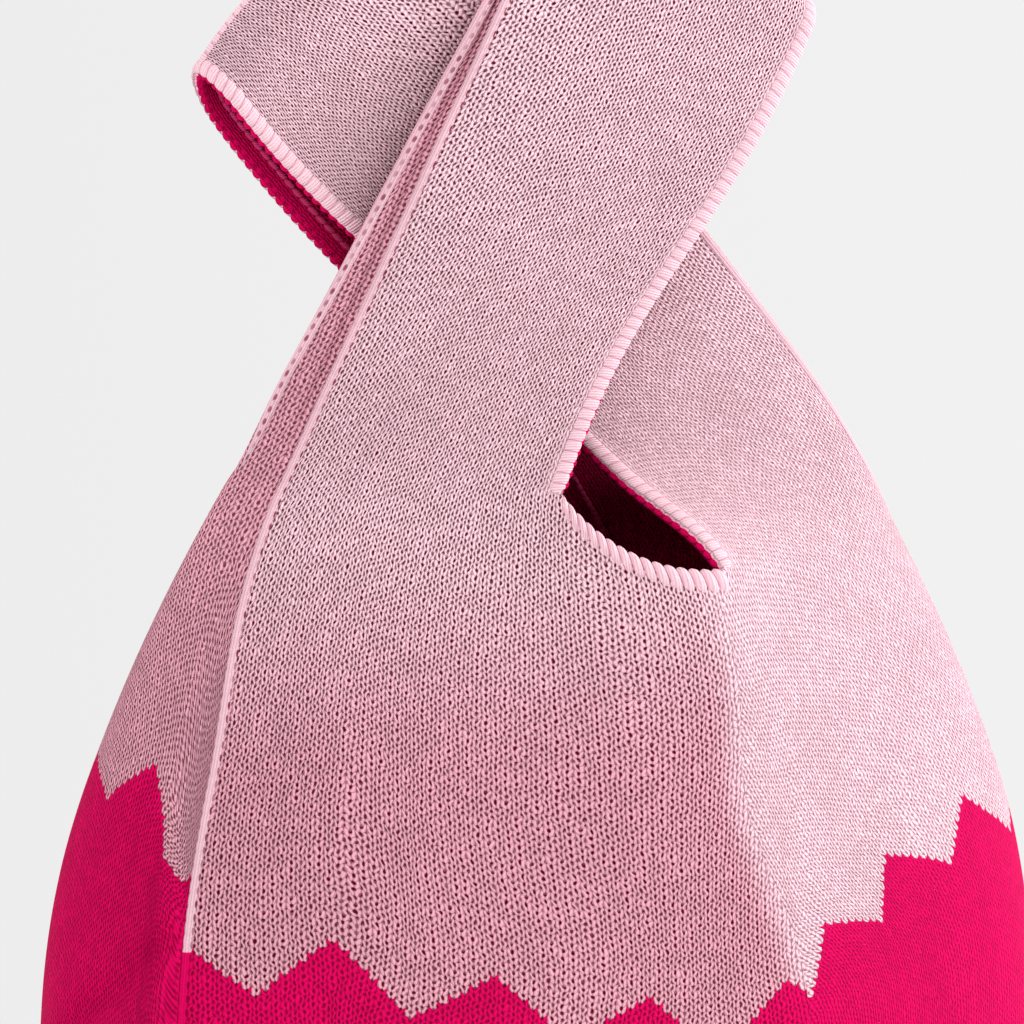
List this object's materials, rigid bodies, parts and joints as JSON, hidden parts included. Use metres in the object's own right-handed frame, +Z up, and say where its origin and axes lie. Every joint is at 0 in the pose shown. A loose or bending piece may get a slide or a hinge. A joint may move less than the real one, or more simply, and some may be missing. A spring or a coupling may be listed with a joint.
{
  "type": "knot bag",
  "caption": "Soft knitted knot bag on an oval base, with a zigzag colour border, notched mouth and looped handles, the longer drawn through the shorter to close it.",
  "frame": {"origin": "on the floor under the middle of the base", "axes": "+Z up; -Y is the front, with the mouth that shows; the short handle stands on the -X side"},
  "size_m": [0.2379, 0.1078, 0.3529],
  "materials": {
    "pale_knit": "matt double knit, pale pink outer face",
    "hot_knit": "matt double knit, hot pink",
    "pale_trim": "bound-off knit edge, pale pink"
  },
  "bodies": {
    "bag_body": {"front_panel": "pale_knit", "front_lining": "hot_knit", "front_mouth_lip": "pale_trim", "back_panel": "pale_knit", "back_lining": "hot_knit", "back_mouth_lip": "pale_trim", "left_side_seam": "pale_trim", "right_side_seam": "pale_trim", "base_panel": "hot_knit", "base_lining": "hot_knit", "base_seam": "hot_knit", "short_front_root": "pale_knit", "short_back_root": "pale_knit", "long_front_root": "pale_knit", "long_back_root": "pale_knit"},
    "short_handle": {"short_front_strap": "pale_knit", "short_front_strap_lining": "hot_knit", "short_front_outer_trim": "pale_trim", "short_front_inner_trim": "pale_trim", "short_front_strap_seam": "pale_trim", "short_back_strap": "pale_knit", "short_back_strap_lining": "hot_knit", "short_back_outer_trim": "pale_trim", "short_back_inner_trim": "pale_trim", "short_crown_seam": "pale_trim"},
    "long_handle": {"long_front_strap": "pale_knit", "long_front_strap_lining": "hot_knit", "long_front_outer_trim": "pale_trim", "long_front_inner_trim": "pale_trim", "long_back_strap": "pale_knit", "long_back_strap_lining": "hot_knit", "long_back_outer_trim": "pale_trim", "long_back_inner_trim": "pale_trim", "long_back_strap_seam": "pale_trim", "long_crown_seam": "pale_trim"}
  },
  "joints": [
    {"name": "short_handle_sway", "type": "hinge", "parent": "bag_body", "child": "short_handle", "pos_m": [-0.04, 0, 0.218], "axis": [0, 1, 0], "range_deg": [-2, 10], "deforming": ["short_front_root", "short_back_root"]},
    {"name": "long_handle_sway", "type": "hinge", "parent": "bag_body", "child": "long_handle", "pos_m": [0.058, 0, 0.203], "axis": [0, 1, 0], "range_deg": [-8, 2], "deforming": ["long_front_root", "long_back_root"]}
  ]
}
